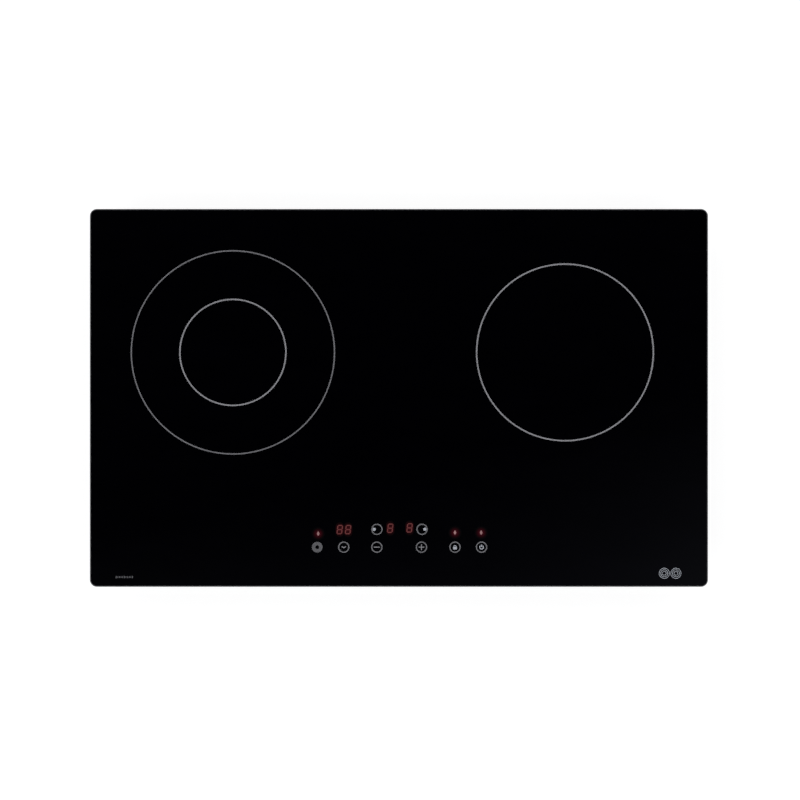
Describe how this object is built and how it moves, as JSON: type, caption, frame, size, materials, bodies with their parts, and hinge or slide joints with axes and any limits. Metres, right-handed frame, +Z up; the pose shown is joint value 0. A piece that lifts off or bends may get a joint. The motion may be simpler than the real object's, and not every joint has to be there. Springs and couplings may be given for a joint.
{
  "type": "induction cooktop",
  "caption": "Built-in glass induction cooktop with printed cooking zones, touch controls, coils, boards and fans in a steel casing, and swing-out worktop clamps.",
  "frame": {"origin": "centre of the cooktop, in the plane of the worktop that the seal under the glass rests on", "axes": "+X to the right, +Y to the back away from the controls, +Z up through the glass"},
  "size_m": [0.7, 0.428, 0.0601],
  "materials": {
    "black_glass": "polished black ceramic glass, opaque",
    "white_enamel": "pale grey enamel print",
    "seal_foam": "closed-cell foam",
    "silicone": "silicone adhesive",
    "sheet_steel": "galvanised",
    "screw_steel": "zinc plated",
    "clamp_steel": "zinc plated",
    "mica_sheet": "matte",
    "litz_copper": "enamelled copper strands",
    "black_plastic": "fine moulded texture",
    "ferrite": "sintered",
    "white_plastic": "moulded",
    "grey_plastic": "moulded",
    "aluminium": "mill finish",
    "circuit_board": "solder mask over glass fibre",
    "enamelled_wire": "enamelled copper",
    "bronze": "sintered bronze",
    "red_display": "tinted epoxy",
    "ribbon": "flat cable",
    "lead_sleeve": "silicone sleeve",
    "grommet_rubber": "rubber"
  },
  "bodies": {
    "hob": {"glass_plate": "black_glass", "zone_rings": "white_enamel", "key_symbols": "white_enamel", "edge_seal": "seal_foam", "glass_adhesive": "silicone", "support_frame": "sheet_steel", "base_pan": "sheet_steel", "casing_screws": "screw_steel", "left_insulating_sheet": "mica_sheet", "right_insulating_sheet": "mica_sheet", "left_outer_winding": "litz_copper", "left_inner_winding": "litz_copper", "right_winding": "litz_copper", "left_coil_carrier": "black_plastic", "right_coil_carrier": "black_plastic", "left_ferrite_bars": "ferrite", "right_ferrite_bars": "ferrite", "temperature_sensors": "white_plastic", "left_coil_tray": "aluminium", "right_coil_tray": "aluminium", "support_posts": "grey_plastic", "support_springs": "screw_steel", "left_power_board": "circuit_board", "right_power_board": "circuit_board", "left_heatsink": "aluminium", "right_heatsink": "aluminium", "film_capacitors": "grey_plastic", "filter_chokes": "enamelled_wire", "power_transistors": "black_plastic", "board_parts": "white_plastic", "left_fan_frame": "black_plastic", "right_fan_frame": "black_plastic", "fan_bearings": "bronze", "fan_stators": "litz_copper", "fan_screws": "screw_steel", "control_tray": "black_plastic", "control_board": "circuit_board", "touch_springs": "screw_steel", "led_displays": "red_display", "ribbon_cable": "ribbon", "coil_leads": "lead_sleeve", "low_voltage_leads": "lead_sleeve", "mains_leads": "lead_sleeve", "terminal_housing": "grey_plastic", "terminal_block": "white_plastic", "terminal_screws": "screw_steel", "cable_saddle": "grey_plastic", "cable_grommet": "grommet_rubber", "clamp_nuts": "screw_steel"},
    "left_fan_rotor": {"left_fan_rotor": "black_plastic"},
    "right_fan_rotor": {"right_fan_rotor": "black_plastic"},
    "terminal_cover": {"terminal_cover": "black_plastic"},
    "clamp_front_left": {"clamp_front_left": "clamp_steel"},
    "clamp_front_right": {"clamp_front_right": "clamp_steel"},
    "clamp_rear_left": {"clamp_rear_left": "clamp_steel"},
    "clamp_rear_right": {"clamp_rear_right": "clamp_steel"},
    "clamp_screw_front_left": {"clamp_screw_front_left": "screw_steel"},
    "clamp_screw_front_right": {"clamp_screw_front_right": "screw_steel"},
    "clamp_screw_rear_left": {"clamp_screw_rear_left": "screw_steel"},
    "clamp_screw_rear_right": {"clamp_screw_rear_right": "screw_steel"}
  },
  "joints": [
    {"name": "left_fan_spin", "type": "hinge", "parent": "hob", "child": "left_fan_rotor", "pos_m": [-0.058, 0.1, -0.0385], "axis": [0, 0, 1], "continuous": true},
    {"name": "right_fan_spin", "type": "hinge", "parent": "hob", "child": "right_fan_rotor", "pos_m": [0.058, 0.1, -0.0385], "axis": [0, 0, 1], "continuous": true},
    {"name": "terminal_cover_hinge", "type": "hinge", "parent": "hob", "child": "terminal_cover", "pos_m": [0.248, 0.156, -0.0512], "axis": [-1, 0, 0], "range_deg": [0, 90]},
    {"name": "clamp_front_left_lift", "type": "slide", "parent": "hob", "child": "clamp_screw_front_left", "axis": [0, 0, 1], "range_m": [0, 0.01]},
    {"name": "clamp_front_left_swing", "type": "hinge", "parent": "clamp_screw_front_left", "child": "clamp_front_left", "pos_m": [-0.3115, -0.12, -0.0413], "axis": [0, 0, 1], "range_deg": [0, 90]},
    {"name": "clamp_front_right_lift", "type": "slide", "parent": "hob", "child": "clamp_screw_front_right", "axis": [0, 0, 1], "range_m": [0, 0.01]},
    {"name": "clamp_front_right_swing", "type": "hinge", "parent": "clamp_screw_front_right", "child": "clamp_front_right", "pos_m": [0.3115, -0.12, -0.0413], "axis": [0, 0, -1], "range_deg": [0, 90]},
    {"name": "clamp_rear_left_lift", "type": "slide", "parent": "hob", "child": "clamp_screw_rear_left", "axis": [0, 0, 1], "range_m": [0, 0.01]},
    {"name": "clamp_rear_left_swing", "type": "hinge", "parent": "clamp_screw_rear_left", "child": "clamp_rear_left", "pos_m": [-0.3115, 0.12, -0.0413], "axis": [0, 0, -1], "range_deg": [0, 90]},
    {"name": "clamp_rear_right_lift", "type": "slide", "parent": "hob", "child": "clamp_screw_rear_right", "axis": [0, 0, 1], "range_m": [0, 0.01]},
    {"name": "clamp_rear_right_swing", "type": "hinge", "parent": "clamp_screw_rear_right", "child": "clamp_rear_right", "pos_m": [0.3115, 0.12, -0.0413], "axis": [0, 0, 1], "range_deg": [0, 90]}
  ]
}
